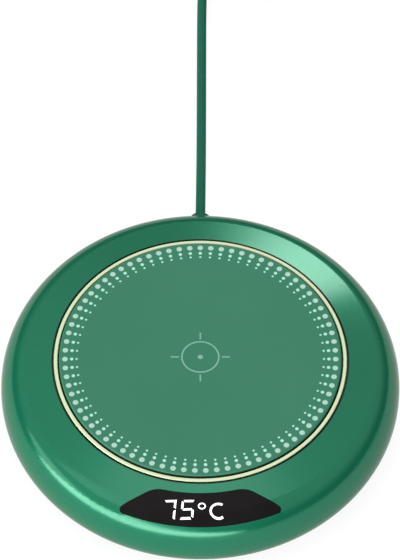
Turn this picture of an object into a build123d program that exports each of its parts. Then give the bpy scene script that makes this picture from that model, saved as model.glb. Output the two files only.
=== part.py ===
from build123d import *
import math
import os

# An electric mug warmer. Millimetres, +Z up, origin on the table under the middle of the body.
# The display faces -Y and the lead leaves at +Y.

# Body
body_radius = 65.4
total_height = 25.0       # from the table to the top of the heating plate
foot_height = 1.5         # how far the rubber feet hold the body off the table
wall = 2.2
top_slope = 14.0          # degrees that the top falls from the trim ring outwards
rim_z = 8.9               # height at which the body is widest
rim_depth = 9.65          # how far the rounded rim reaches in from the widest line
turn_in = 4.8             # how far the underside comes in below the widest line
cover_floor = 2.0
bore_inset = 3.6          # from the widest line to the straight inner wall
lip_height = 3.0
lip_clearance = 0.2
lip_thickness = 1.8

# Heating plate and trim ring
plate_radius = 46.0
plate_thickness = 2.4
plate_edge = 0.45         # chamfer round the plate
plate_proud = 0.8         # how far the plate stands above the trim ring
plate_gap = 0.4           # open gap between the plate and the ring
plate_travel = 0.8        # how far the plate sinks under a mug
ring_width = 1.3
ring_height = 2.0
ring_proud = 0.1
ring_fit = 0.05
groove_width = 0.45       # open groove in the housing round the ring
groove_depth = 0.8
collar_thickness = 2.0    # ledge under the trim ring
collar_reach = 0.3        # how far the ledge stays back from the ring's inner face

# Stack under the plate
spreader_thickness = 1.2
spreader_margin = 2.2     # how much smaller the heat spreader is than the plate
film_thickness = 0.4
film_margin = 3.6         # how much smaller the heating film is than the spreader
mica_thickness = 0.6
mica_margin = 2.0         # how much larger the mica is than the film
sensor_hole = 8.0         # radius of the hole in the film and the mica
carrier_floor = 1.6
carrier_wall = 1.7
carrier_gap = 0.3         # round the heat spreader
carrier_hole = 9.0
flange_width = 3.6
flange_thickness = 1.4
guide_clearance = 0.3     # between the carrier's flange and the housing's guide
guide_thickness = 1.4
guide_depth = 5.2
rib_thickness = 1.5
rib_depth = 1.5

# Plate springs
spring_inset = 9.8        # from the plate's edge to the springs
spring_radius = 3.0
spring_wire = 0.6
spring_turns = 4
spring_angles = (30, 150, 270)
post_height = 6.5
post_radius = 4.6
cup_depth = 3.0
cup_wall = 1.2
cup_clearance = 1.0

# Display
window_gap = 3.8          # between the trim ring and the window
window_depth = 10.0
window_shoulder = 14.45   # half width where the window's slanting ends start
window_tip = 26.7         # half width at the window's tips
window_corner = 0.9       # rounding of the tips
window_bend = 8.0         # rounding where the slanting ends start
lens_thickness = 1.2
lens_fit = 0.15
module_left = -12.0
module_right = 8.6
module_inset = 1.7        # from the window's edges to the display module
module_gap = 0.4          # between the lens and the module
module_fit = 0.25
display_drop = 4.3        # from the window's outer edge down to the display board
display_board_thickness = 1.2
display_board_angle = 46.0
display_screw_angle = 19.5
touch_spring_radius = 2.0
touch_spring_turns = 3
touch_spring_angle = 284.4

# Control board
board_lift = 2.5          # above the cover's floor
board_thickness = 1.6
board_front = -8.0
board_rear = 40.0
board_width = 48.0
board_clearance = 1.0     # between the board and the spring posts
board_corner = 3.0
switch_place = (0.0, 15.0)
switch_size = 6.2
switch_height = 3.6
plunger_radius = 1.8
plunger_proud = 1.4
plunger_fit = 0.08
rod_radius = 2.2
rod_gap = 0.05

# Screws and feet
screw_angles = (45, 135, 225, 315)
screw_inset = 10.0
screw_radius = 1.25
screw_head_radius = 2.3
screw_head_height = 1.6
screw_length = 9.0
screw_fit = 0.05
boss_radius = 3.2
small_screw_radius = 0.95
small_head_radius = 1.8
small_head_height = 1.2
small_screw_length = 4.5
foot_angles = (0, 90, 180, 270)
foot_inset = 15.0
foot_radius = 7.0
foot_recess = 0.6

# Lead
cord_diameter = 3.3
boot_length = 4.9         # outside the wall
boot_flare = 1.9          # the flared part of that length
boot_fit = 0.03
boot_root = 3.3
boot_tip = 1.75
boot_flange = 4.2
clamp_width = 14.0
clamp_length = 5.5
coil_columns = 3
coil_layers = 4
coil_centre_y = 197.0
plug_width = 12.4
plug_height = 7.8
plug_length = 21.0
plug_boot = 9.0
shell_width = 12.0
shell_height = 4.5
shell_length = 12.8       # outside the overmould
shell_wall = 0.35

# Heights and radii that follow
slope = math.tan(math.radians(top_slope))
ring_inner = plate_radius + plate_gap
ring_outer = ring_inner + ring_width
ring_top = total_height - plate_proud
ring_bottom = ring_top - ring_height
collar_bottom = ring_bottom - collar_thickness
opening_radius = ring_inner + collar_reach
housing_edge = ring_outer + ring_fit
rim_centre = body_radius - rim_depth
turn_centre = body_radius - turn_in
rim_drop = ring_top - ring_proud - rim_z - (rim_centre - housing_edge) * slope
rim_rise = math.sqrt(rim_drop**2 - (rim_depth * slope) ** 2)
parting = foot_height + cover_floor
bore_radius = body_radius - bore_inset

plate_bottom = total_height - plate_thickness
spreader_bottom = plate_bottom - spreader_thickness
film_bottom = spreader_bottom - film_thickness
mica_bottom = film_bottom - mica_thickness
carrier_bottom = mica_bottom - carrier_floor
spreader_radius = plate_radius - spreader_margin
film_radius = spreader_radius - film_margin
carrier_inner = spreader_radius + carrier_gap
carrier_outer = carrier_inner + carrier_wall
flange_radius = carrier_outer + flange_width
guide_inner = flange_radius + guide_clearance
guide_outer = guide_inner + guide_thickness

spring_circle = plate_radius - spring_inset
post_top = parting + post_height
window_inner = ring_outer + window_gap
window_outer = window_inner + window_depth
window_middle = window_inner + window_depth / 2
board_bottom = parting + board_lift
board_top = board_bottom + board_thickness
board_half = board_width / 2
screw_circle = body_radius - screw_inset
foot_circle = body_radius - foot_inset
cord_radius = cord_diameter / 2
clamp_y = body_radius - 12.0
coil_turn_radius = 5.5 * cord_diameter + (coil_columns - 1) / 2 * cord_diameter

BASE = (Align.CENTER, Align.CENTER, Align.MIN)


def disc(radius, low, high):
    """An upright cylinder on the body's axis between two heights."""
    return Pos(0, 0, low) * Cylinder(radius, high - low, align=BASE)


def ring(outer, inner, low, high):
    return disc(outer, low, high) - disc(inner, low - 1, high + 1)


def block(x0, x1, y0, y1, z0, z1):
    return Pos((x0 + x1) / 2, (y0 + y1) / 2, z0) * Box(x1 - x0, y1 - y0, z1 - z0, align=BASE)


def polar(radius, angle):
    """A place on a circle round the body's axis, the angle in degrees from +X."""
    return Pos(radius * math.cos(math.radians(angle)), radius * math.sin(math.radians(angle)), 0)


def envelope(inset):
    """The body's outer form, shrunk by inset: a cone, an elliptical rim and an elliptical turn-in."""
    across, up, down = rim_depth - inset, rim_rise - inset, rim_z - foot_height - inset
    start = math.degrees(math.atan2(up, across * slope))
    rim = EllipticalCenterArc((rim_centre, rim_z), across, up, 0, arc_size=start)
    meet = rim @ 1
    edge = (housing_edge, meet.Y + (meet.X - housing_edge) * slope)
    under = EllipticalCenterArc((turn_centre, rim_z), turn_in - inset, down, 270, arc_size=90)
    foot = under @ 0
    sides = Polyline((meet.X, meet.Y), edge, (0, edge[1]), (0, foot.Y), (foot.X, foot.Y))
    return revolve(Plane.XZ * make_face([rim, sides, under]), Axis.Z)


def rim_height(radius, inset=0.0):
    """Height of the body's top at a radius, for the form shrunk by inset."""
    across, up = rim_depth - inset, rim_rise - inset
    start = math.atan2(up, across * slope)
    meet = rim_centre + across * math.cos(start)
    if radius < meet:
        return rim_z + up * math.sin(start) + (meet - radius) * slope
    return rim_z + up * math.sqrt(1 - ((radius - rim_centre) / across) ** 2)


def window_outline(grow):
    """The window seen from above: an arc-shaped band with slanting ends and rounded corners."""
    inner, outer = window_inner - grow, window_outer + grow
    shoulder_y = -math.sqrt(window_inner**2 - window_shoulder**2)
    tip_y = -math.sqrt(window_outer**2 - window_tip**2)
    band = Circle(outer) - Circle(inner)
    run, fall = window_tip - window_shoulder, tip_y - shoulder_y
    push = grow / math.hypot(run, fall)
    far = 3 * body_radius
    ends = [
        (window_shoulder - run * 9 - fall * push, shoulder_y - fall * 9 + run * push),
        (window_shoulder + run * 9 - fall * push, shoulder_y + fall * 9 + run * push),
    ]
    wedge = Polygon(*ends, (0, -far), align=None)
    other = Polygon(*[(-x, y) for x, y in ends], (0, -far), align=None)
    outline = band & wedge & other
    tips = outline.vertices().sort_by(Axis.X)
    outline = fillet([tips[0], tips[-1]], window_corner + grow)
    shoulders = outline.vertices().sort_by(Axis.Y)[-2:]
    return fillet(shoulders, window_bend + grow)


def window_prism(grow):
    return Pos(0, 0, rim_z) * extrude(window_outline(grow), total_height)


def screw(radius, head_radius, head_height, length):
    """A pan-head screw pointing up, the underside of its head at z 0."""
    head = Pos(0, 0, -head_height) * Cylinder(head_radius, head_height, align=BASE)
    head = fillet(head.edges().sort_by(Axis.Z)[0], head_height / 2)
    slot = Pos(0, 0, -head_height) * (Box(2 * radius, 0.5, 1.2) + Box(0.5, 2 * radius, 1.2))
    tip = Pos(0, 0, length - radius) * Cone(radius, radius / 3, radius, align=BASE)
    return head - slot + Cylinder(radius, length - radius, align=BASE) + tip


def coil_spring(radius, wire, turns, low, high):
    """A compression spring with its ends ground flat, upright between two heights."""
    path = Helix(pitch=(high - low) / turns, height=high - low, radius=radius)
    section = Plane(origin=path @ 0, z_dir=path % 0) * Circle(wire / 2)
    coil = sweep(section, path=path, is_frenet=True)
    reach = radius + wire
    return Pos(0, 0, low) * (coil & block(-reach, reach, -reach, reach, 0, high - low))


def bent_tube(points, radius, corner_radii):
    path = FilletPolyline(*points, radius=corner_radii)
    section = Plane(origin=path @ 0, z_dir=path % 0) * Circle(radius)
    return sweep(section, path=path)


def route_radii(points):
    """One radius for each corner of a route, as large as the runs beside it allow."""
    radii = []
    for before, corner, after in zip(points, points[1:], points[2:]):
        first, second = Vector(*corner) - Vector(*before), Vector(*after) - Vector(*corner)
        half_turn = math.radians(first.get_angle(second)) / 2
        radii.append(0.45 * min(first.length, second.length) / math.tan(half_turn))
    return radii


def housing_bosses():
    """The four screw bosses and the two that carry the display board."""
    tall = polar(screw_circle, screw_angles[0]) * disc(boss_radius, parting + 2.5, total_height)
    for angle in screw_angles[1:]:
        tall += polar(screw_circle, angle) * disc(boss_radius, parting + 2.5, total_height)
    for side in (-1, 1):
        place = polar(window_middle - 1.5, 270 + side * display_screw_angle)
        tall += place * disc(2.2, display_board_top(), total_height)
    return tall & envelope(wall / 2)


def display_board_top():
    return rim_height(window_outer) - display_drop


def display_opening():
    """The hole under the window for the display module, and the one for the touch spring."""
    fit = module_fit
    low, high = display_board_top(), total_height
    front, back = -window_outer + module_inset + 0.6 - fit, -window_inner - module_inset + fit
    hole = block(module_left - fit, module_right + fit, front, back, low, high)
    touch = disc(touch_spring_radius + 0.6, low, high)
    return hole + polar(window_middle, touch_spring_angle) * touch


def top_housing():
    cavity = envelope(wall) & disc(bore_radius, rim_z, total_height)
    cavity += disc(bore_radius, 0, rim_z)
    shell = envelope(0) - cavity - disc(2 * body_radius, 0, parting)
    collar = ring(guide_outer, opening_radius, collar_bottom, total_height) & envelope(0)
    guide = ring(guide_outer, guide_inner, collar_bottom - guide_depth, collar_bottom)
    shell = shell + collar + guide + housing_bosses()
    shell -= disc(opening_radius, 0, 2 * total_height)
    shell -= disc(housing_edge, ring_bottom, 2 * total_height)
    groove_bottom = ring_top - ring_proud - groove_depth
    shell -= disc(housing_edge + groove_width, groove_bottom, 2 * total_height)
    shell -= window_prism(lens_fit) - envelope(lens_thickness)
    shell -= display_opening()
    pilot = screw_radius + screw_fit
    for angle in screw_angles:
        shell -= polar(screw_circle, angle) * disc(pilot, parting, parting + 1 + screw_length)
    for side in (-1, 1):
        place = polar(window_middle - 1.5, 270 + side * display_screw_angle)
        top = display_board_top()
        hole = disc(small_screw_radius + screw_fit, top, top + small_screw_length - 1)
        shell -= place * hole
    entry = Pos(0, body_radius, rim_z) * Rot(90, 0, 0) * Cylinder(boot_root, 6 * wall)
    return shell - entry


def bottom_cover():
    base = envelope(0) & disc(2 * body_radius, 0, parting)
    lip_outer = bore_radius - lip_clearance
    lip = ring(lip_outer, lip_outer - lip_thickness, parting, parting + lip_height)
    lip -= block(-8, 8, 0, 2 * body_radius, parting, total_height)
    base += lip
    for angle in spring_angles:
        post = disc(post_radius, parting, post_top)
        pin = disc(spring_radius - spring_wire / 2 - 0.4, post_top, post_top + 2.5)
        base += polar(spring_circle, angle) * (post + pin)
    for angle in screw_angles:
        base += polar(screw_circle, angle) * disc(boss_radius + 0.8, parting, parting + 2.5)
    for place in board_screw_places():
        base += place * disc(2.8, parting, board_bottom)
    base += clamp_saddle()
    for angle in screw_angles:
        shaft = disc(screw_radius + 0.25, 0, total_height)
        pocket = disc(screw_head_radius + 0.3, 0, parting + 1)
        base -= polar(screw_circle, angle) * (shaft + pocket)
    for angle in foot_angles:
        base -= polar(foot_circle, angle) * disc(foot_radius + 0.1, 0, foot_height + foot_recess)
    for place in board_screw_places():
        base -= place * disc(small_screw_radius + screw_fit, parting, total_height)
    return base


def board_screw_places():
    front, rear, side = board_front + 3.5, board_rear - 3.5, board_half - 3.5
    return [Pos(x, y, 0) for x in (-side, side) for y in (front, rear)]


def lead_groove():
    """The lead's own form across the clamp, a little wider than the lead."""
    groove = Cylinder(cord_radius + boot_fit, 2 * clamp_length)
    return Pos(0, clamp_y, rim_z) * Rot(90, 0, 0) * groove


def clamp_saddle():
    """The block that the lead lies on inside the body, with a groove for the lead."""
    half = clamp_width / 2
    front, back = clamp_y - clamp_length / 2, clamp_y + clamp_length / 2
    saddle = block(-half, half, front, back, parting, rim_z) - lead_groove()
    for side in (-1, 1):
        hole = disc(small_screw_radius + screw_fit, rim_z - 3.5, total_height)
        saddle -= Pos(side * (half - 2.4), clamp_y, 0) * hole
    return saddle


def cord_clamp():
    half = clamp_width / 2
    short = clamp_length / 2 - 0.3
    bar = block(-half, half, clamp_y - short, clamp_y + short, rim_z + 0.1, rim_z + 2.9)
    bar = fillet(bar.edges().filter_by(Axis.Y).group_by(Axis.Z)[-1], 0.8)
    bar -= lead_groove()
    for side in (-1, 1):
        hole = disc(small_screw_radius + screw_fit, 0, total_height)
        bar -= Pos(side * (half - 2.4), clamp_y, 0) * hole
    return bar


def clamp_screws():
    down = Pos(0, 0, rim_z + 2.9) * Rot(180, 0, 0)
    length = small_screw_length + 1.5
    one = down * screw(small_screw_radius, small_head_radius, small_head_height, length)
    offset = clamp_width / 2 - 2.4
    return Compound(children=[Pos(side * offset, clamp_y, 0) * one for side in (-1, 1)])


def housing_screws():
    head_seat = Pos(0, 0, parting + 1)
    one = head_seat * screw(screw_radius, screw_head_radius, screw_head_height, screw_length)
    return Compound(children=[polar(screw_circle, angle) * one for angle in screw_angles])


def rubber_feet():
    pad = disc(foot_radius, 0, foot_height + foot_recess)
    pad = fillet(pad.edges().sort_by(Axis.Z)[0], 0.8)
    return Compound(children=[polar(foot_circle, angle) * pad for angle in foot_angles])


def trim_ring():
    band = ring(ring_outer, ring_inner, ring_bottom, ring_top)
    return chamfer(band.edges().group_by(Axis.Z)[-1], 0.2)


def heating_plate():
    plate = disc(plate_radius, plate_bottom, total_height)
    return chamfer(plate.edges().group_by(Axis.Z)[-1], plate_edge)


def heating_film():
    """A printed heater on a thin disc, with two solder tabs that reach into its middle hole."""
    film = ring(film_radius, sensor_hole, film_bottom, spreader_bottom)
    for side in (-1, 1):
        x = side * 2.2
        film += block(x - 1.1, x + 1.1, -sensor_hole - 1, -4.0, film_bottom, spreader_bottom)
    return film


def plate_carrier():
    """The heat-proof tray that holds the plate, with its flange, ribs, spring cups and switch rod."""
    tray = ring(carrier_outer, carrier_inner, carrier_bottom, plate_bottom)
    tray += ring(carrier_inner + 0.5, carrier_hole, carrier_bottom, mica_bottom)
    tray += ring(flange_radius, carrier_outer - 0.5, collar_bottom - flange_thickness, collar_bottom)
    rib_top = carrier_bottom
    for angle in range(0, 180, 60):
        long = carrier_outer - 1
        bar = block(-long, long, -rib_thickness / 2, rib_thickness / 2, rib_top - rib_depth, rib_top)
        tray += Rot(0, 0, angle) * bar
    tray -= disc(carrier_hole, 0, carrier_bottom)
    tray += ring(carrier_hole + 1.2, carrier_hole, rib_top - rib_depth, mica_bottom)
    cup_inner = spring_radius + spring_wire / 2 + cup_clearance
    for angle in spring_angles:
        cup = ring(cup_inner + cup_wall, cup_inner, rib_top - cup_depth, rib_top)
        tray += polar(spring_circle, angle) * cup
    rod = disc(rod_radius, plunger_top() + rod_gap, carrier_bottom + 0.5)
    return tray + Pos(*switch_place) * rod


def plunger_top():
    return board_top + switch_height + plunger_proud


def plate_springs():
    one = coil_spring(spring_radius, spring_wire, spring_turns, post_top, carrier_bottom)
    return Compound(children=[polar(spring_circle, angle) * one for angle in spring_angles])


def sensor_bead(y, length):
    """A round sensor lying along X against the heat spreader."""
    radius = 1.2
    bead = Rot(0, 90, 0) * Cylinder(radius, length)
    bead = fillet(bead.edges(), radius / 3)
    return Pos(0, y, spreader_bottom - radius) * bead


def sensor_clip():
    """A bent strap that presses both sensors to the heat spreader."""
    low, thick, half = spreader_bottom - 2.8, 0.4, 1.6
    strap = block(-half, half, -1.0, 7.2, low, low + thick)
    for y in (-1.0, 7.2 - thick):
        strap += block(-half, half, y, y + thick, low, spreader_bottom)
    return strap


def fuse_link():
    """The short wire from the film's right-hand tab to the thermal fuse."""
    end, low = spreader_bottom - 1.2, spreader_bottom - 1.8
    points = [
        (2.2, -5.2, film_bottom),
        (2.2, -5.2, low),
        (-5.2, -2.6, low),
        (-5.2, 1.5, end),
        (-4.0, 1.5, end),
    ]
    return bent_tube(points, 0.45, 0.5)


def heater_leads():
    """Two slack wires down to the control board: one from the film's left tab, one from the fuse."""
    high, low = spreader_bottom - 1.2, film_bottom - 5
    left = [
        (-2.2, -5.2, film_bottom),
        (-2.2, -5.2, low),
        (-5.5, -4.5, low - 4),
        (-5.5, -4.5, board_top),
    ]
    right = [
        (4.0, 1.5, high),
        (5.5, 1.5, high),
        (5.5, -1.0, low),
        (5.5, -4.5, low - 4),
        (5.5, -4.5, board_top),
    ]
    return Compound(children=[bent_tube(points, 0.6, 0.8) for points in (left, right)])


def sensor_leads():
    wires = []
    for side in (-1, 1):
        x, top = side * 2.5, spreader_bottom - 1.2
        points = [(side * 1.4, 4.8, top), (x, 4.8, top), (x, 6.0, board_top)]
        wires.append(bent_tube(points, 0.35, 0.6))
    return Compound(children=wires)


def control_board():
    width, length = 2 * board_half, board_rear - board_front
    outline = RectangleRounded(width, length, board_corner)
    board = extrude(Pos(0, (board_front + board_rear) / 2, board_bottom) * outline, board_thickness)
    for place in board_screw_places():
        board -= place * disc(small_screw_radius + 0.15, 0, total_height)
    for angle in spring_angles:
        board -= polar(spring_circle, angle) * disc(post_radius + board_clearance, 0, total_height)
    return board


def board_screws():
    down = Pos(0, 0, board_top) * Rot(180, 0, 0)
    length = small_screw_length - 0.7
    one = down * screw(small_screw_radius, small_head_radius, small_head_height, length)
    return Compound(children=[place * one for place in board_screw_places()])


def switch_body():
    half = switch_size / 2
    body = block(-half, half, -half, half, board_top, board_top + switch_height)
    body = chamfer(body.edges().filter_by(Axis.Z), 0.5)
    body -= disc(plunger_radius + plunger_fit, board_top + 1.2, total_height)
    return Pos(*switch_place) * body


def switch_plunger():
    low = board_top + 1.2 + plate_travel + 0.2
    pin = disc(plunger_radius, low, plunger_top())
    return Pos(*switch_place) * fillet(pin.edges().sort_by(Axis.Z)[-1], 0.3)


def microcontroller():
    body = block(-5.0, 5.0, -2.0, 2.0, board_top + 0.15, board_top + 1.6)
    for i in range(8):
        x = (i - 3.5) * 1.27
        body += block(x - 0.2, x + 0.2, -3.0, 3.0, board_top, board_top + 0.5)
    return Pos(board_half - 11, 4, 0) * body


def power_transistor():
    body = block(-3.3, 3.3, -3.0, 3.0, board_top, board_top + 2.3)
    tab = block(-2.7, 2.7, 3.0, 4.4, board_top, board_top + 0.6)
    legs = block(-2.8, -1.8, -5.6, -3.0, board_top, board_top + 0.6)
    legs += block(1.8, 2.8, -5.6, -3.0, board_top, board_top + 0.6)
    return Pos(11 - board_half, 4, 0) * (body + tab + legs)


def choke():
    core = disc(5.0, board_top, board_top + 1.2) + disc(3.6, board_top, board_top + 3.4)
    core += disc(5.0, board_top + 3.0, board_top + 4.2)
    return Pos(11 - board_half, 18, 0) * core


def capacitors():
    can = disc(3.15, board_top, board_top + 4.4)
    can = fillet(can.edges().sort_by(Axis.Z)[-1], 0.4)
    return Compound(children=[Pos(board_half - 11, y, 0) * can for y in (17, 26)])


def cord_connector():
    body = block(-4.0, 4.0, board_rear - 7, board_rear - 1, board_top, board_top + 4.2)
    return body - block(-3.0, 3.0, board_rear - 5.4, board_rear - 2.6, board_top + 3.0, total_height)


def display_board():
    """The arc-shaped board under the window."""
    top = display_board_top()
    low = top - display_board_thickness
    half = display_board_angle / 2
    band = ring(window_outer - 0.6, guide_outer + 0.3, low, top)
    far = 2 * body_radius
    left, right = math.radians(270 - half), math.radians(270 + half)
    corners = [(0, 0)] + [(far * math.cos(a), far * math.sin(a)) for a in (left, right)]
    board = band & Pos(0, 0, low - 1) * extrude(Polygon(*corners, align=None), total_height)
    for side in (-1, 1):
        place = polar(window_middle - 1.5, 270 + side * display_screw_angle)
        board -= place * disc(small_screw_radius + 0.15, 0, total_height)
    return board


def display_screws():
    seat = Pos(0, 0, display_board_top() - display_board_thickness)
    one = seat * screw(small_screw_radius, small_head_radius, small_head_height, small_screw_length)
    radius = window_middle - 1.5
    places = [polar(radius, 270 + side * display_screw_angle) for side in (-1, 1)]
    return Compound(children=[place * one for place in places])


def display_module():
    """The light box with the digits, its top following the window."""
    front, back = -window_outer + module_inset + 0.6, -window_inner - module_inset
    box = block(module_left, module_right, front, back, display_board_top(), total_height)
    return box & envelope(lens_thickness + module_gap)


def display_window():
    return window_prism(0) & envelope(0) - envelope(lens_thickness)


def touch_spring():
    """The sprung electrode that stands between the display board and the window."""
    high = rim_height(window_middle + touch_spring_radius, lens_thickness)
    low = display_board_top()
    coil = coil_spring(touch_spring_radius - 0.3, 0.5, touch_spring_turns, low, high - 0.3)
    return polar(window_middle, touch_spring_angle) * coil


def display_cable():
    """A flat cable from the control board to the display board."""
    width, thick = 6.0, 0.3
    middle, rest = 11.0, board_top + thick / 2
    arrive = -window_inner - 0.5
    hang = display_board_top() - display_board_thickness - thick / 2
    path = FilletPolyline(
        (middle, board_front + 4, rest),
        (middle, board_front - 6, rest),
        (middle, arrive + 10, rest + 1.6),
        (middle, arrive + 2, hang),
        (middle, arrive - 4, hang),
        radius=2.0,
    )
    section = Plane(origin=path @ 0, x_dir=(1, 0, 0), z_dir=path % 0) * Rectangle(width, thick)
    return sweep(section, path=path)


def strain_relief():
    """A soft bushing clipped into the wall: an inner flange, a waist, a collar and a flared mouth."""
    inside, mouth = bore_radius - 2.0, body_radius + boot_length
    bore, waist, collar = cord_radius + boot_fit, boot_root - 0.1, mouth - boot_flare
    sides = Polyline(
        (boot_tip, mouth),
        (bore, mouth),
        (bore, inside),
        (boot_flange, inside),
        (boot_flange, bore_radius - 0.2),
        (waist, bore_radius - 0.2),
        (waist, body_radius),
        (boot_root, body_radius),
        (boot_root, collar),
    )
    flare = ThreePointArc(
        (boot_root, collar),
        (boot_tip + (boot_root - boot_tip) / 4, collar + boot_flare / 3),
        (boot_tip, mouth),
    )
    bushing = revolve(Plane.XZ * make_face([sides, flare]), Axis.Z)
    return Pos(0, 0, rim_z) * Rot(-90, 0, 0) * bushing


def cord_end():
    """The lead's end inside the body, from the outer wall to just past the clamp."""
    start, stop = clamp_y - clamp_length, body_radius
    return Pos(0, (start + stop) / 2, rim_z) * Rot(90, 0, 0) * Cylinder(cord_radius, stop - start)


def cord_cores():
    """The two insulated cores from the lead's end to the connector."""
    wires = []
    back, plug_in = clamp_y - clamp_length, board_rear - 0.9
    for side in (-1, 1):
        points = [
            (side * 0.7, back, rim_z),
            (side * 0.7, back - 2, rim_z),
            (side * 1.6, plug_in, board_top + 2.2),
        ]
        wires.append(bent_tube(points, 0.5, 1.5))
    return Compound(children=wires)


def cord_route():
    """The lead from the outer wall down to the table and straight back to the coil."""
    floor = cord_radius + 0.05
    return [
        (0, body_radius, rim_z),
        (0.22, 83.0, rim_z),
        (0.36, 105.0, 3.2),
        (0.44, 138.0, floor),
        (0.52, 172.0, floor),
        (1.50, coil_centre_y, floor),
    ]


def tail_route():
    """The lead from the top of the coil down to the plug."""
    x, y, _ = coil_place()
    top, low = (coil_layers - 0.5) * cord_diameter, plug_height / 2
    y += coil_turn_radius
    return [(x, y, top), (x + 10.4, y, top), (x + 24.0, y, low), (x + 34.0, y, low)]


def coil_place():
    return (cord_route()[-1][0] + coil_turn_radius, coil_centre_y, 0)


def cord_coil():
    """The outer shape of the coil: turns side by side and on each other."""
    outer = coil_turn_radius + cord_radius
    inner = outer - coil_columns * cord_diameter
    coil = ring(outer, inner, 0, coil_layers * cord_diameter)
    return Pos(*coil_place()) * fillet(coil.edges().filter_by(GeomType.CIRCLE), cord_radius * 0.9)


def along_plug(shape):
    """Puts a shape that was built along +Z at the lead's end, pointing along +X."""
    x, y, z = tail_route()[-1]
    return Pos(x, y, z) * Rot(0, 90, 0) * shape


def plug_body():
    """The soft overmould with its ringed boot."""
    boot = Cone(cord_radius + 0.7, 3.0, plug_boot, align=BASE)
    for i in range(3):
        boot -= ring(5, 2.1 + 0.15 * i, 1.6 + 2.2 * i, 2.6 + 2.2 * i)
    section = RectangleRounded(plug_height, plug_width, 1.8)
    grip = extrude(Pos(0, 0, plug_boot) * section, plug_length)
    grip = chamfer(grip.faces().sort_by(Axis.Z)[0].edges(), 0.8)
    pocket = Pos(0, 0, plug_boot + plug_length - 3) * Box(shell_height, shell_width, 6, align=BASE)
    return along_plug(boot + grip - pocket)


def plug_shell():
    """The folded metal shell with its four latch holes."""
    low, high = plug_boot + plug_length - 3, plug_boot + plug_length + shell_length
    outer = Pos(0, 0, low) * Box(shell_height, shell_width, high - low, align=BASE)
    outer = fillet(outer.edges().filter_by(Axis.Z), 0.5)
    hollow = Pos(0, 0, low + 0.4) * Box(
        shell_height - 2 * shell_wall, shell_width - 2 * shell_wall, high - low, align=BASE
    )
    shell = outer - hollow
    for y in (-2.6, 2.6):
        shell -= Pos(0, y, high - 5.2) * Box(2 * shell_height, 2.2, 2.2)
    return along_plug(shell)


def plug_tongue():
    low, high = plug_boot + plug_length - 2.6, plug_boot + plug_length + shell_length - 1
    inside = shell_height / 2 - shell_wall
    width = shell_width - 2 * shell_wall - 0.2
    return along_plug(Pos(inside - 0.95, 0, low) * Box(1.9, width, high - low, align=BASE))


def plug_contacts():
    low, high = plug_boot + plug_length - 2, plug_boot + plug_length + shell_length - 2
    face = shell_height / 2 - shell_wall - 1.9
    strips = [
        along_plug(Pos(face - 0.1, y, low) * Box(0.2, 1.0, high - low, align=BASE))
        for y in (-3.5, -1.0, 1.0, 3.5)
    ]
    return Compound(children=strips)


parts = {
    "top_housing": top_housing(),
    "bottom_cover": bottom_cover(),
    "trim_ring": trim_ring(),
    "heating_plate": heating_plate(),
    "heat_spreader": disc(spreader_radius, spreader_bottom, plate_bottom),
    "heating_film": heating_film(),
    "mica_sheet": ring(film_radius + mica_margin, sensor_hole, mica_bottom, film_bottom),
    "plate_carrier": plate_carrier(),
    "plate_springs": plate_springs(),
    "thermal_fuse": sensor_bead(1.5, 8.0),
    "thermistor": sensor_bead(4.8, 2.8),
    "sensor_clip": sensor_clip(),
    "fuse_link": fuse_link(),
    "heater_leads": heater_leads(),
    "sensor_leads": sensor_leads(),
    "control_board": control_board(),
    "board_screws": board_screws(),
    "microcontroller": microcontroller(),
    "power_transistor": power_transistor(),
    "choke": choke(),
    "capacitors": capacitors(),
    "cord_connector": cord_connector(),
    "switch_body": switch_body(),
    "switch_plunger": switch_plunger(),
    "display_window": display_window(),
    "display_module": display_module(),
    "display_board": display_board(),
    "display_screws": display_screws(),
    "display_cable": display_cable(),
    "touch_spring": touch_spring(),
    "housing_screws": housing_screws(),
    "rubber_feet": rubber_feet(),
    "strain_relief": strain_relief(),
    "cord_end": cord_end(),
    "cord_clamp": cord_clamp(),
    "clamp_screws": clamp_screws(),
    "cord_cores": cord_cores(),
    "power_cord": bent_tube(cord_route(), cord_radius, route_radii(cord_route())),
    "cord_coil": cord_coil(),
    "cord_tail": bent_tube(tail_route(), cord_radius, route_radii(tail_route())),
    "plug_body": plug_body(),
    "plug_shell": plug_shell(),
    "plug_tongue": plug_tongue(),
    "plug_contacts": plug_contacts(),
}

os.makedirs("parts", exist_ok=True)
for name, shape in parts.items():
    export_step(shape, f"parts/{name}.step")

for route in (cord_route(), tail_route()):
    print("cord radii, mm:", [round(radius, 1) for radius in route_radii(route)])
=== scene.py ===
import math

import bmesh
import bpy
from mathutils import Matrix, Vector


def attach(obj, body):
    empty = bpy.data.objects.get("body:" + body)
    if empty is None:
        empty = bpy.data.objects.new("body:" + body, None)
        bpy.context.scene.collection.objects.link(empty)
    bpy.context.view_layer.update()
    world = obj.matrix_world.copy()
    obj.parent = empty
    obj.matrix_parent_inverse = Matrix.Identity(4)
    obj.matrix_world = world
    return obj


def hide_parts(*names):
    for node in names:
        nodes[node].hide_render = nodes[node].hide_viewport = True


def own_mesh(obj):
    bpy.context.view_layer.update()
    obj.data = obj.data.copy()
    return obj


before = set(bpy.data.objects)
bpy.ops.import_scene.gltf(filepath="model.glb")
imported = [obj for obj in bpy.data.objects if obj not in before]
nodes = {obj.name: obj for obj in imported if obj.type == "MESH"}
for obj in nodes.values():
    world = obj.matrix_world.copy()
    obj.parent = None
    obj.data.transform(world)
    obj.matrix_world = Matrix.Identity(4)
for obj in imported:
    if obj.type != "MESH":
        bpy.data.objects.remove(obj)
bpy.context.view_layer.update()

# ---------------------------------------------------------------------------------------
# The studio: a long lens high in front of the warmer, a white paper sweep under it, a pale
# ceiling over a dim horizon, and five soft lamps.
# ---------------------------------------------------------------------------------------
camera_data = bpy.data.cameras.new("camera")
camera_data.lens, camera_data.sensor_width = 244.08, 36.0
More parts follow.
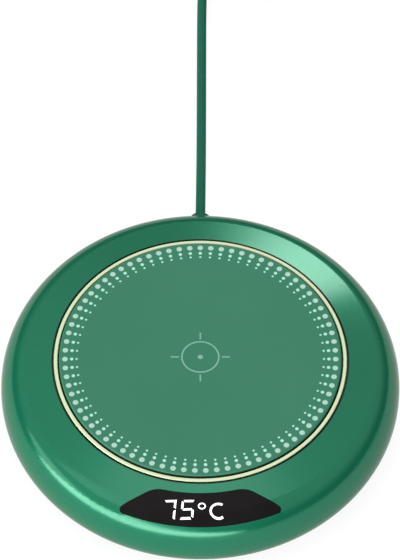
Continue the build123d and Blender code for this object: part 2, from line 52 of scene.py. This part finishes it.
camera_data.clip_start, camera_data.clip_end = 0.05, 20.0
camera = bpy.data.objects.new("camera", camera_data)
bpy.context.scene.collection.objects.link(camera)
camera.location = (-0.0001, -0.7035, 1.0391)
camera.rotation_euler = (math.radians(35.91), 0.0, 0.0)
bpy.context.scene.camera = camera
bpy.context.scene.view_settings.view_transform = "Standard"


class Wire:
    """One output of a node. Sums on wires add Math nodes, and node() adds any other node."""

    def __init__(self, tree, output=None):
        self.tree, self.output = tree, output

    def node(self, kind, sockets=None, out=0, **settings):
        made = self.tree.nodes.new("ShaderNode" + kind)
        for name, value in settings.items():
            setattr(made, name, value)
        for name, value in (sockets or {}).items():
            if isinstance(value, Wire):
                self.tree.links.new(value.output, made.inputs[name])
            else:
                made.inputs[name].default_value = value
        return Wire(self.tree, made.outputs[out])

    def to(self, operation, second=0.0):
        return self.node("Math", {0: self, 1: second}, operation=operation)

    def __add__(self, other):
        return self.to("ADD", other)

    def __radd__(self, other):
        return self.to("ADD", other)

    def __sub__(self, other):
        return self.to("SUBTRACT", other)

    def __rsub__(self, other):
        return self.node("Math", {0: other, 1: self}, operation="SUBTRACT")

    def __mul__(self, other):
        return self.to("MULTIPLY", other)

    def __rmul__(self, other):
        return self.to("MULTIPLY", other)

    def __truediv__(self, other):
        return self.to("DIVIDE", other)

    def __abs__(self):
        return self.to("ABSOLUTE")

    def step(self, low, high):
        """0 at low, 1 at high, smooth between; low may be above high."""
        places = {"Value": self, "From Min": min(low, high), "From Max": max(low, high)}
        places["To Min"], places["To Max"] = (0.0, 1.0) if low < high else (1.0, 0.0)
        return self.node("MapRange", places, interpolation_type="SMOOTHSTEP")

    def along(self, axis):
        """The place's X, Y or Z."""
        return self.node("SeparateXYZ", {0: self}, out=axis)

    def from_axis(self):
        """How far the place is from the warmer's upright axis."""
        level = self.node("VectorMath", {0: self, 1: (1.0, 1.0, 0.0)}, operation="MULTIPLY")
        return level.node("VectorMath", {0: level}, out="Value", operation="LENGTH")

    def noise(self, scale, detail, **sockets):
        """Cloudy noise over the place."""
        return self.node("TexNoise", {"Vector": self, "Scale": scale, "Detail": detail, **sockets})

    def relief(self, strength, depth):
        """A normal that rises and falls with this wire."""
        return self.node("Bump", {"Height": self, "Strength": strength, "Distance": depth})

    def mix(self, first, second):
        """The first colour where this wire is 0 and the second where it is 1."""
        return self.node("Mix", {0: self, 6: first, 7: second}, out=2, data_type="RGBA")


def finish(name, shader="BsdfPrincipled"):
    """A new material. Returns it, its object coordinates and its shader node."""
    material = bpy.data.materials.new(name)
    material.use_nodes = True
    tree = material.node_tree
    tree.nodes.clear()
    end = tree.nodes.new("ShaderNodeOutputMaterial")
    body = tree.nodes.new("ShaderNode" + shader)
    tree.links.new(body.outputs[0], end.inputs["Surface"])
    place = Wire(tree).node("TexCoord", out="Object")
    return material, place, body


def feed(place, body, sockets):
    """Sets the shader's sockets to numbers, colours or wires."""
    for name, value in sockets.items():
        if isinstance(value, Wire):
            place.tree.links.new(value.output, body.inputs[name])
        else:
            body.inputs[name].default_value = value


def deselect():
    bpy.ops.object.select_all(action="DESELECT")


# Sweep: a big disc that reads white and still takes the warmer's shadow.
sweep_radius, under_feet = 6.0, 0.00005
deselect()
bpy.ops.mesh.primitive_circle_add(
    vertices=96, radius=sweep_radius, fill_type="NGON", location=(0, 0, -under_feet),
)
sweep = bpy.context.object
sweep.name = "sweep"
sweep_paper, place, body = finish("sweep_paper", "MixShader")
seen = place.node("LightPath", out="Is Camera Ray")
mirrored = place.node("LightPath", out="Is Glossy Ray")
through = place.node("LightPath", out="Is Transmission Ray")
paper = place.node("BsdfDiffuse", {"Color": (0.40, 0.40, 0.40, 1)})
half_lit = place.node("BsdfDiffuse", {"Color": (0.16, 0.16, 0.16, 1)})
glow = place.node("Emission", {"Color": (1, 1, 1, 1), "Strength": 0.88})
bright = place.node("AddShader", {0: half_lit, 1: glow})
feed(place, body, {0: (seen + mirrored + through).to("MINIMUM", 1.0), 1: paper, 2: bright})
sweep.data.materials.append(sweep_paper)

# Room: dim at the horizon and pale overhead.
world = bpy.data.worlds.new("room")
bpy.context.scene.world = world
world.use_nodes = True
overhead = Wire(world.node_tree).node("TexCoord", out="Generated").along("Z").step(0.20, 0.62)
sky = overhead.mix((0.12, 0.12, 0.12, 1), (0.78, 0.78, 0.78, 1))
world.node_tree.links.new(sky.output, world.node_tree.nodes["Background"].inputs["Color"])


def softbox(name, azimuth, elevation, distance, width, height, watts, roll=0.0, shape="ELLIPSE"):
    """A flat lamp that faces the warmer, turned by roll about its own axis."""
    lamp = bpy.data.lights.new(name, "AREA")
    lamp.shape, lamp.size, lamp.size_y, lamp.energy = shape, width, height, watts
    holder = bpy.data.objects.new(name, lamp)
    bpy.context.scene.collection.objects.link(holder)
    a, e = math.radians(azimuth), math.radians(elevation)
    away = Vector((math.cos(e) * math.cos(a), math.cos(e) * math.sin(a), math.sin(e)))
    holder.location = away * distance
    turn = away.to_track_quat("Z", "Y").to_matrix().to_4x4() @ Matrix.Rotation(math.radians(roll), 4, "Z")
    holder.rotation_euler = turn.to_euler()


# The two boxes in front draw the crescent of light along the rim. The one behind lights the
# back of the slope, and the two overhead fill in.
softbox("left_front_box", 194, 19, 1.8, 1.4, 0.54, 4.4, roll=-10)
softbox("front_box", 237, 9, 1.8, 4.6, 0.56, 50.0, roll=-3)
softbox("back_box", 75.5, 31, 2.0, 0.80, 0.34, 6.2)
softbox("left_top", 200, 62, 2.4, 1.2, 1.2, 4.4, shape="RECTANGLE")
softbox("back_top", 93, 76, 2.4, 1.4, 1.3, 5.4)

# ---------------------------------------------------------------------------------------
# The lead: a soft round two-core lead in a matt green jacket, 1.45 m long. It leaves the wall
# in a short bushing and runs straight back. The rest is wound in a neat coil with a tie, and
# a moulded plug with a plated shell lies beside it.
# ---------------------------------------------------------------------------------------
lead_width = 0.0033
lead_points = [
    (0.0, 0.0654, 0.0089),
    (0.00022, 0.0830, 0.0089),
    (0.00036, 0.1050, 0.0032),
    (0.00044, 0.1380, 0.0017),
    (0.00052, 0.1720, 0.0017),
    (0.00150, 0.1970, 0.0018),
]

# Coil: four layers of three turns side by side. A turn moves over to the next one's place in
# its last quarter, and the lead's end leaves just past the last turn.
coil_x, coil_y, outer_turn = 0.02295, 0.1970, 0.0216
turn_gap, layer_gap, lowest_turn = 0.00335, 0.00332, 0.00190
abreast, layers = 3, 4
turn_points, end_points = 24, 5
columns = [outer_turn - beside * turn_gap for beside in range(abreast)]
laid = (columns + columns[::-1]) * (layers // 2)
last_turn = len(laid) - 1
for count in range(1, last_turn * turn_points + end_points + 1):
    turn, part = divmod(count, turn_points)
    slide = max(0.0, (part / turn_points - 0.75) * 4)
    slide = slide * slide * (3 - 2 * slide)
    after = min(turn + 1, last_turn)
    radius = laid[turn] + (laid[after] - laid[turn]) * slide
    layer = turn // abreast + (after // abreast - turn // abreast) * slide
    angle = math.pi - 2 * math.pi * count / turn_points
    lead_points.append((
        coil_x + radius * math.cos(angle),
        coil_y + radius * math.sin(angle),
        lowest_turn + layer_gap * layer,
    ))
tail_y, plug_middle = 0.21845, 0.0039
lead_points += [
    (0.0275, tail_y, 0.0117),
    (0.0335, tail_y, 0.0113),
    (0.04695, tail_y, plug_middle),
    (0.05695, tail_y, plug_middle),
]
curve = bpy.data.curves.new("lead", "CURVE")
curve.dimensions = "3D"
curve.bevel_depth, curve.bevel_resolution, curve.resolution_u = lead_width / 2, 5, 4
curve.use_fill_caps = True
spline = curve.splines.new("NURBS")
spline.points.add(len(lead_points) - 1)
for point, at in zip(spline.points, lead_points):
    point.co = (*at, 1.0)
spline.order_u = 3
spline.use_endpoint_u = True
lead = bpy.data.objects.new("lead", curve)
bpy.context.scene.collection.objects.link(lead)


def soft_rubber(name, colour, dusty, roughness, grain):
    """Soft moulded rubber: a little dusty, with fine grain."""
    material, place, body = finish(name)
    dust = place.noise(260.0, 4.0).step(0.35, 0.75)
    feed(place, body, {
        "Base Color": dust.mix(colour, dusty),
        "Roughness": roughness + dust * 0.12,
        "Specular IOR Level": 0.18,
        "Normal": place.noise(grain, 2.0).relief(0.10, 0.0001),
    })
    return material


lead_rubber = soft_rubber("lead_rubber", (0.004, 0.112, 0.067, 1), (0.006, 0.124, 0.076, 1), 0.55, 5200.0)
curve.materials.append(lead_rubber)
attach(lead, "base")
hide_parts("power_cord", "cord_coil", "cord_tail")


def pick(piece, kind, wanted):
    """Selects the faces, edges or vertices of the piece in edit mode that the test wants."""
    bpy.ops.mesh.select_mode(type=kind)
    bpy.ops.mesh.select_all(action="DESELECT")
    mesh = bmesh.from_edit_mesh(piece.data)
    for part in {"FACE": mesh.faces, "EDGE": mesh.edges, "VERT": mesh.verts}[kind]:
        if wanted(part):
            part.select_set(True)
    bmesh.update_edit_mesh(piece.data)


def harden(piece, kind, **settings):
    """Adds a modifier to the piece and applies it."""
    modifier = piece.modifiers.new(kind.lower(), kind)
    for name, value in settings.items():
        setattr(modifier, name, value)
    bpy.context.view_layer.objects.active = piece
    bpy.ops.object.modifier_apply(modifier=modifier.name)


# Tie: a soft woven strap, closed round all the turns of the coil at one place.
tie_size, tie_height, tie_corner, strap_thickness = (0.0108, 0.0062, 0.0138), 0.00700, 0.0016, 0.0003
deselect()
bpy.ops.mesh.primitive_cube_add(size=1, location=(coil_x + columns[1], coil_y, tie_height))
tie = bpy.context.object
tie.name = "coil_tie"
tie.scale = tie_size
bpy.ops.object.transform_apply(location=True, rotation=True, scale=True)
bpy.ops.object.mode_set(mode="EDIT")
pick(tie, "FACE", lambda face: abs(face.normal.y) > 0.9)
bpy.ops.mesh.delete(type="ONLY_FACE")
pick(tie, "EDGE", lambda edge: abs(edge.verts[0].co.y - edge.verts[1].co.y) > tie_size[1] / 2)
bpy.ops.mesh.bevel(offset=tie_corner, segments=6)
bpy.ops.mesh.select_all(action="SELECT")
bpy.ops.mesh.normals_make_consistent(inside=False)
bpy.ops.object.mode_set(mode="OBJECT")
harden(tie, "SOLIDIFY", thickness=strap_thickness, offset=-1)
strap, place, body = finish("tie_strap")
rib = place.node("TexWave", {"Vector": place, "Scale": 900.0, "Distortion": 1.5}, bands_direction="Y")
feed(place, body, {
    "Base Color": rib.step(0.2, 0.8).mix((0.012, 0.013, 0.014, 1), (0.030, 0.031, 0.032, 1)),
    "Roughness": 0.78 + rib * 0.12,
    "Normal": rib.relief(0.3, 0.0001),
})
tie.data.materials.append(strap)
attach(tie, "base")


def dress(material, *names):
    """Gives CAD nodes a finish in place of their plain one."""
    for name in names:
        nodes[name].data.materials.clear()
        nodes[name].data.materials.append(material)


def moulded(name, colour, worn, roughness, grain, depth):
    """Moulded plastic: a fine sparked grain, with faint clouds of wear in colour and gloss."""
    material, place, body = finish(name)
    rub = place.noise(75.0, 5.0, Roughness=0.65)
    feed(place, body, {
        "Base Color": rub.step(0.42, 0.72).mix(colour, worn),
        "Roughness": roughness - rub.step(0.45, 0.75) * 0.10,
        "Normal": place.noise(grain, 2.0).relief(depth, 0.00008),
    })
    return material


def bright_metal(name, colour, dull, roughness, scale, depth, grain_way=(1.0, 1.0, 1.0)):
    """Bare or plated metal: drawn or rolled lines along one way, and dull handled patches."""
    material, place, body = finish(name)
    drawn = place.node("VectorMath", {0: place, 1: grain_way}, operation="MULTIPLY")
    lines = drawn.noise(scale, 4.0, Roughness=0.6)
    handled = place.noise(140.0, 4.0).step(0.40, 0.75)
    feed(place, body, {
        "Base Color": handled.mix(colour, dull),
        "Metallic": 1.0 - handled * 0.08,
        "Roughness": roughness + lines * 0.10 + handled * 0.06,
        "Normal": lines.relief(depth, 0.00004),
    })
    return material


dress(lead_rubber, "cord_end", "strain_relief", "plug_body")
dress(bright_metal("nickel_plate", (0.74, 0.73, 0.71, 1), (0.58, 0.57, 0.55, 1), 0.16, 1800.0, 0.10,
                   grain_way=(0.1, 1, 1)),
      "plug_shell")
dress(bright_metal("gold_plate", (0.86, 0.64, 0.26, 1), (0.74, 0.52, 0.20, 1), 0.22, 1800.0, 0.12,
                   grain_way=(0.1, 1, 1)),
      "plug_contacts")
white_nylon = moulded("white_nylon", (0.74, 0.73, 0.68, 1), (0.66, 0.64, 0.57, 1), 0.42, 3200.0, 0.12)
dress(white_nylon, "plug_tongue")

# ---------------------------------------------------------------------------------------
# Bottom cover: a moulded tray in dark green plastic with a fine sparked grain. Four rubber
# feet are glued into it, the boards sit on its posts, and zinc plated screws hold them all.
# ---------------------------------------------------------------------------------------
dress(moulded("cover_plastic", (0.020, 0.120, 0.065, 1), (0.026, 0.142, 0.079, 1), 0.55, 3400.0, 0.30),
      "bottom_cover")
dress(soft_rubber("foot_rubber", (0.028, 0.029, 0.030, 1), (0.060, 0.060, 0.060, 1), 0.72, 3000.0),
      "rubber_feet")
dress(bright_metal("zinc_plate", (0.66, 0.66, 0.68, 1), (0.50, 0.50, 0.49, 1), 0.28, 2400.0, 0.20),
      "housing_screws", "board_screws", "display_screws", "clamp_screws")

# ---------------------------------------------------------------------------------------
# Boards and what is soldered on them: green solder mask over copper tracks, with moulded
# chips, a ferrite choke, aluminium cans, the plate's switch and the socket for the red cores.
# ---------------------------------------------------------------------------------------
mask, place, body = finish("solder_mask")
cells = place.node(
    "TexVoronoi", {"Vector": place, "Scale": 420.0}, feature="DISTANCE_TO_EDGE", distance="MANHATTAN",
)
tracks = cells.step(0.10, 0.05)
feed(place, body, {
    "Base Color": tracks.mix((0.012, 0.100, 0.040, 1), (0.028, 0.170, 0.070, 1)),
    "Roughness": 0.30 + place.noise(600.0, 3.0) * 0.12,
    "Normal": tracks.relief(0.25, 0.00004),
})
dress(mask, "control_board", "display_board")
dress(moulded("chip_epoxy", (0.014, 0.014, 0.015, 1), (0.028, 0.028, 0.028, 1), 0.50, 5200.0, 0.25),
      "microcontroller", "power_transistor")
dress(moulded("sintered_ferrite", (0.050, 0.051, 0.054, 1), (0.090, 0.090, 0.092, 1), 0.62, 4200.0, 0.45),
      "choke")
dress(bright_metal("drawn_can", (0.78, 0.78, 0.80, 1), (0.62, 0.62, 0.64, 1), 0.24, 900.0, 0.15,
                   grain_way=(1, 1, 0.1)),
      "capacitors")
dress(white_nylon, "cord_connector", "switch_plunger")
black_plastic = moulded(
    "black_plastic", (0.018, 0.018, 0.020, 1), (0.036, 0.036, 0.038, 1), 0.48, 3600.0, 0.28,
)
dress(black_plastic, "switch_body", "cord_clamp")


def insulation(name, colour, marked, gloss):
    """Silicone or vinyl wire insulation: smooth, with faint ripples from the extruder."""
    material, place, body = finish(name)
    ripple = place.noise(1500.0, 2.0)
    feed(place, body, {
        "Base Color": ripple.step(0.40, 0.70).mix(colour, marked),
        "Roughness": gloss + ripple * 0.15,
        "Normal": ripple.relief(0.08, 0.00005),
    })
    return material


dress(insulation("red_vinyl", (0.42, 0.030, 0.022, 1), (0.50, 0.045, 0.032, 1), 0.30), "cord_cores")

# ---------------------------------------------------------------------------------------
# Plate springs and the plate's leads: three coils of spring wire that hold the plate up, and
# silicone leads soldered to the board and the film.
# ---------------------------------------------------------------------------------------
weld_distance = 0.000001


def give_way(name, node, material):
    """A welded copy of the CAD node with its own finish, held to the base in place of the node."""
    deselect()
    yielding = bpy.data.objects.new(name, nodes[node].data.copy())
    bpy.context.scene.collection.objects.link(yielding)
    bpy.context.view_layer.objects.active = yielding
    bpy.ops.object.mode_set(mode="EDIT")
    bpy.ops.mesh.select_all(action="SELECT")
    bpy.ops.mesh.remove_doubles(threshold=weld_distance)
    bpy.ops.object.mode_set(mode="OBJECT")
    yielding.data.materials.clear()
    yielding.data.materials.append(material)
    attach(yielding, "base")
    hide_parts(node)
    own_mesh(yielding)


spring_steel = bright_metal("spring_steel", (0.60, 0.60, 0.61, 1), (0.42, 0.42, 0.43, 1), 0.22, 3000.0, 0.12)
white_silicone = insulation("white_silicone", (0.74, 0.73, 0.69, 1), (0.66, 0.65, 0.60, 1), 0.42)
black_silicone = insulation("black_silicone", (0.018, 0.018, 0.018, 1), (0.032, 0.032, 0.032, 1), 0.42)
give_way("support_springs", "plate_springs", spring_steel)
give_way("film_leads", "heater_leads", white_silicone)
give_way("bead_leads", "sensor_leads", black_silicone)

# ---------------------------------------------------------------------------------------
# Display module: a white light box with a pale diffusing face, close under the window, with a
# coil of spring steel that feels a touch and a ribbon of grey film over tinned strips.
# ---------------------------------------------------------------------------------------
ribbon, place, body = finish("flat_ribbon")
strips = place.node("TexWave", {"Vector": place, "Scale": 320.0, "Distortion": 0.0}, bands_direction="X")
feed(place, body, {
    "Base Color": strips.step(0.35, 0.65).mix((0.62, 0.63, 0.63, 1), (0.40, 0.42, 0.44, 1)),
    "Roughness": 0.30 + strips * 0.10,
    "Normal": strips.relief(0.25, 0.00005),
})
dress(ribbon, "display_cable")
dress(moulded("light_box", (0.78, 0.78, 0.76, 1), (0.70, 0.70, 0.67, 1), 0.45, 2600.0, 0.15),
      "display_module")
dress(spring_steel, "touch_spring")

# ---------------------------------------------------------------------------------------
# Heater stack: a rolled aluminium spreader, an amber film with an etched track that runs
# round in rings, and a sheet of pressed mica, all in a black plastic carrier. A sensor bead
# is clipped to the film, and a fuse in a tinned can sits in its lead.
# ---------------------------------------------------------------------------------------
dress(bright_metal("rolled_aluminium", (0.80, 0.80, 0.81, 1), (0.66, 0.66, 0.67, 1), 0.30, 500.0, 0.20,
                   grain_way=(0.05, 1, 1)),
      "heat_spreader")
film, place, body = finish("etched_film")
track_pitch = 0.0030
winding = (place.from_axis() / track_pitch).to("FRACT") - 0.5
track = abs(winding).step(0.34, 0.29)
feed(place, body, {
    "Base Color": track.mix((0.42, 0.19, 0.035, 1), (0.30, 0.27, 0.22, 1)),
    "Metallic": track * 0.8,
    "Roughness": 0.28 + track * 0.10,
    "Normal": track.relief(0.3, 0.00005),
})
dress(film, "heating_film")
mica, place, body = finish("pressed_mica")
scales = place.node("TexVoronoi", {"Vector": place, "Scale": 300.0}, out="Color")
scale_light = scales.node("SeparateColor", {0: scales}, out="Red")
feed(place, body, {
    "Base Color": scale_light.mix((0.52, 0.48, 0.40, 1), (0.68, 0.64, 0.56, 1)),
    "Roughness": 0.30 + scale_light * 0.25,
    "Normal": scale_light.relief(0.2, 0.00005),
})
dress(mica, "mica_sheet")
bead, place, body = finish("sensor_bead")
swirl = place.noise(700.0, 3.0)
feed(place, body, {
    "Base Color": swirl.step(0.3, 0.7).mix((0.50, 0.20, 0.05, 1), (0.62, 0.30, 0.10, 1)),
    "Roughness": 0.12 + swirl * 0.10,
    "Normal": swirl.relief(0.06, 0.00005),
})
dress(bead, "thermistor")
dress(spring_steel, "sensor_clip")
dress(bright_metal("tinned_can", (0.72, 0.69, 0.62, 1), (0.56, 0.53, 0.47, 1), 0.30, 2200.0, 0.15,
                   grain_way=(0.2, 1, 1)),
      "thermal_fuse")
dress(white_silicone, "fuse_link")
dress(black_plastic, "plate_carrier")

# ---------------------------------------------------------------------------------------
# Top housing: one ABS moulding with a sloped top, a round rim and the outer wall, sprayed
# with green pearl lacquer under a satin clear coat. A painted shade darkens the ring's groove.
# ---------------------------------------------------------------------------------------
pearl, place, body = finish("pearl_lacquer")
flakes = place.noise(3800.0, 1.0)
cloud = place.noise(24.0, 3.0).step(0.3, 0.7)
rub = place.noise(90.0, 5.0, Roughness=0.7).step(0.45, 0.8)
green = cloud.mix((0.0015, 0.153, 0.074, 1), (0.0030, 0.165, 0.082, 1))
green = flakes.step(0.3, 0.75).mix(green, (0.0060, 0.183, 0.092, 1))
# Painted shade: in the groove round the ring the lacquer's colour turns dark green.
groove_edge = (0.04848, 0.04836)
painted_groove_shade = place.from_axis().step(*groove_edge)
feed(place, body, {
    "Base Color": painted_groove_shade.mix(green, (0.0010, 0.020, 0.0060, 1)),
    "Metallic": 0.35,
    "Roughness": 0.22 + rub * 0.03,
    "Specular IOR Level": 0.10,
    "Specular Tint": (0.03, 0.28, 0.20, 1),
    "Coat Weight": 0.30,
    "Coat IOR": 1.85,
    "Coat Roughness": 0.15,
    "Normal": flakes.relief(0.03, 0.00005),
})
dress(pearl, "top_housing")

# ---------------------------------------------------------------------------------------
# Display window: a dark tinted acrylic lens, bonded flush into the housing. Under it the
# module shines through as two seven-bar digits, a degree ring and the letter of the unit.
# ---------------------------------------------------------------------------------------
lens, place, body = finish("tinted_lens")
smear = place.noise(120.0, 4.0).step(0.4, 0.8)
feed(place, body, {
    "Base Color": smear.mix((0.0080, 0.0062, 0.0070, 1), (0.0100, 0.0082, 0.0090, 1)),
    "Roughness": 0.30 + smear * 0.06,
    "Specular IOR Level": 0.07,
})
dress(lens, "display_window")

bar_width, mitre, slant = 0.00066, 1.3, 0.10
digit_middle, above_lens = -0.0566, 0.030
lit = []


def bar(x, y, length, turn):
    """One lit bar, its mitred short edge on the left of its own direction."""
    bpy.ops.mesh.primitive_plane_add(size=1, location=(0, 0, 0))
    strip = bpy.context.object
    strip.scale = (length, bar_width, 1)
    bpy.ops.object.transform_apply(scale=True)
    bpy.ops.object.mode_set(mode="EDIT")
    pick(strip, "VERT", lambda vert: vert.co.y > 0)
    bpy.ops.transform.resize(value=((length - mitre * bar_width) / length, 1, 1))
    bpy.ops.mesh.select_all(action="SELECT")
    bpy.ops.mesh.subdivide(number_cuts=5)
    bpy.ops.object.mode_set(mode="OBJECT")
    strip.rotation_euler.z = math.radians(turn)
    strip.location = (x, y, above_lens)
    bpy.ops.object.transform_apply(location=True, rotation=True)
    for vert in strip.data.vertices:
        vert.co.x += slant * (vert.co.y - digit_middle)
    lit.append(strip)


def hoop(x, y, half_width, half_height, stroke, first=0, last=360):
    """An oval line, drawn from one angle to another; the rest of it is cut away."""
    bpy.ops.mesh.primitive_circle_add(vertices=72, radius=1, fill_type="NOTHING", location=(0, 0, 0))
    line = bpy.context.object
    line.scale = (half_width + stroke / 2, half_height + stroke / 2, 1)
    bpy.ops.object.transform_apply(scale=True)
    bpy.ops.object.mode_set(mode="EDIT")
    pick(line, "EDGE", lambda edge: True)
    bpy.ops.mesh.extrude_region_move()
    bpy.ops.transform.resize(value=(
        (half_width - stroke / 2) / (half_width + stroke / 2),
        (half_height - stroke / 2) / (half_height + stroke / 2),
        1,
    ))

    def cut_away(face):
        middle = face.calc_center_median()
        return not first <= math.degrees(math.atan2(middle.y, middle.x)) % 360 <= last

    pick(line, "FACE", cut_away)
    bpy.ops.mesh.delete(type="FACE")
    bpy.ops.mesh.select_all(action="SELECT")
    bpy.ops.mesh.normals_make_consistent(inside=False)
    bpy.ops.object.mode_set(mode="OBJECT")
    line.location = (x, y, above_lens)
    bpy.ops.object.transform_apply(location=True)
    lit.append(line)


# Bars by their middle, length and direction. Seven: top, upper right, lower right. Five: top,
# upper left, middle, lower right, bottom.
deselect()
bar(-0.00958, -0.05387, 0.00375, 180)
bar(-0.00815, -0.05505, 0.00260, 90)
bar(-0.00815, -0.05817, 0.00285, 90)
bar(-0.00388, -0.05395, 0.00340, 180)
bar(-0.00576, -0.05525, 0.00265, 270)
bar(-0.00400, -0.05662, 0.00330, 0)
bar(-0.00236, -0.05797, 0.00250, 90)
bar(-0.00440, -0.05935, 0.00360, 0)

# Degree ring, and the letter, which is an oval left open on the right.
hoop(0.00050, -0.05558, 0.00106, 0.00086, 0.00040)
hoop(0.00575, -0.05710, 0.00248, 0.00226, 0.00068, first=57, last=308)

# The digits are joined, dropped onto the lens and given a hair of thickness.
deselect()
for piece in lit:
    piece.select_set(True)
digits = bpy.context.view_layer.objects.active = lit[0]
bpy.ops.object.join()
digits.name = "lit_digits"
bpy.ops.object.mode_set(mode="EDIT")
pick(digits, "FACE", lambda face: face.normal.z < 0)
bpy.ops.mesh.flip_normals()
bpy.ops.object.mode_set(mode="OBJECT")
harden(digits, "SHRINKWRAP", wrap_method="PROJECT", use_project_z=True, use_negative_direction=True,
       use_positive_direction=False, target=nodes["display_window"], offset=0.00002)
harden(digits, "SOLIDIFY", thickness=0.00004, offset=1)
shine, place, body = finish("lit_segments")
dots = place.noise(500.0, 2.0).step(0.3, 0.7)
feed(place, body, {
    "Base Color": (0.80, 0.80, 0.80, 1),
    "Roughness": 0.5 + dots * 0.1,
    "Emission Color": dots.mix((0.92, 0.95, 0.95, 1), (1.0, 1.0, 1.0, 1)),
    "Emission Strength": 0.95,
})
digits.data.materials.append(shine)
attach(digits, "base")

# ---------------------------------------------------------------------------------------
# Trim ring: a turned aluminium ring, anodised pale gold, pressed into the housing. Below its
# top edge it is coloured dark and not metallic, a painted shade for the dark of the groove.
# ---------------------------------------------------------------------------------------
gold, place, body = finish("gold_anodised")
lathe = place.node(
    "TexNoise", {"W": place.from_axis(), "Scale": 9000.0, "Detail": 2.0}, noise_dimensions="1D",
)
pale_gold = lathe.step(0.3, 0.7).mix((0.63, 0.735, 0.465, 1), (0.68, 0.785, 0.515, 1))
# Painted shade: below this height the ring's colour turns dark green and loses its metal.
ring_edge = (0.02406, 0.02398)
painted_shade_sides = place.along("Z").step(*ring_edge)
feed(place, body, {
    "Base Color": painted_shade_sides.mix(pale_gold, (0.003, 0.018, 0.005, 1)),
    "Metallic": 0.5 - 0.5 * painted_shade_sides,
    "Roughness": 0.36 + lathe * 0.08,
    "Normal": lathe.relief(0.08, 0.00003),
})
dress(gold, "trim_ring")

# ---------------------------------------------------------------------------------------
# Heating plate: a pressed aluminium disc, baked matt green. Printed on it in pale mint are
# three rings of dots, and in the middle a plain mark to centre the mug on.
# ---------------------------------------------------------------------------------------
baked, place, body = finish("baked_lacquer")
x, y, out = place.along("X"), place.along("Y"), place.from_axis()

# Sizes of the print: each ring of dots by its own radius and its dots' radius, and the mark's
# circle, ticks and dot. A pair of sizes is where the ink starts and where it is full.
dots_round, dot_blur = 79, 0.00012
dot_rings = ((0.0440, 0.00090), (0.0418, 0.00056), (0.0402, 0.00036))
mark_radius, tick_middle = 0.0060, 0.0083
line_edge, tick_end, middle_dot = (0.00032, 0.00016), (0.00140, 0.00124), (0.00092, 0.00074)
share = y.to("ARCTAN2", x) * (dots_round / (2 * math.pi)) + 0.25
beside = (share - share.to("ROUND")) * (2 * math.pi / dots_round) * out
prints = [abs(out - mark_radius).step(*line_edge)]
for ring_radius, dot_radius in dot_rings:
    off = out - ring_radius
    apart = (off * off + beside * beside).to("SQRT")
    prints.append(apart.step(dot_radius + dot_blur, dot_radius - dot_blur))
for ahead, aside in ((x, y), (y, x)):
    prints.append(abs(aside).step(*line_edge) * abs(abs(ahead) - tick_middle).step(*tick_end))
prints.append(out.step(*middle_dot))
printed = prints[0]
for more in prints[1:]:
    printed = printed.to("MAXIMUM", more)

# Colours: the outer dots are paler than the inner ones, and the mark is faint. The plate's
# edge below its top gets a painted shade, dark, for the gap inside the ring.
inner_dots, mark_area, plate_edge = (0.0432, 0.0424), (0.0200, 0.0190), (0.02468, 0.02456)
grain = place.noise(900.0, 4.0)
cloud = place.noise(30.0, 3.0).step(0.3, 0.7)
mint = out.step(*inner_dots).mix((0.41, 0.66, 0.55, 1), (0.42, 0.82, 0.64, 1))
mint = out.step(*mark_area).mix(mint, (0.20, 0.46, 0.34, 1))
lacquer = cloud.mix((0.029, 0.192, 0.107, 1), (0.032, 0.199, 0.113, 1))
# Painted shade: below its top face the plate's edge is coloured a very dark green.
painted_shade_sides = place.along("Z").step(*plate_edge)
feed(place, body, {
    "Base Color": painted_shade_sides.mix(printed.mix(lacquer, mint), (0.010, 0.022, 0.012, 1)),
    "Roughness": 0.62 + grain * 0.1,
    "Specular IOR Level": 0.35,
    "Normal": grain.relief(0.06, 0.00005),
})
dress(baked, "heating_plate")
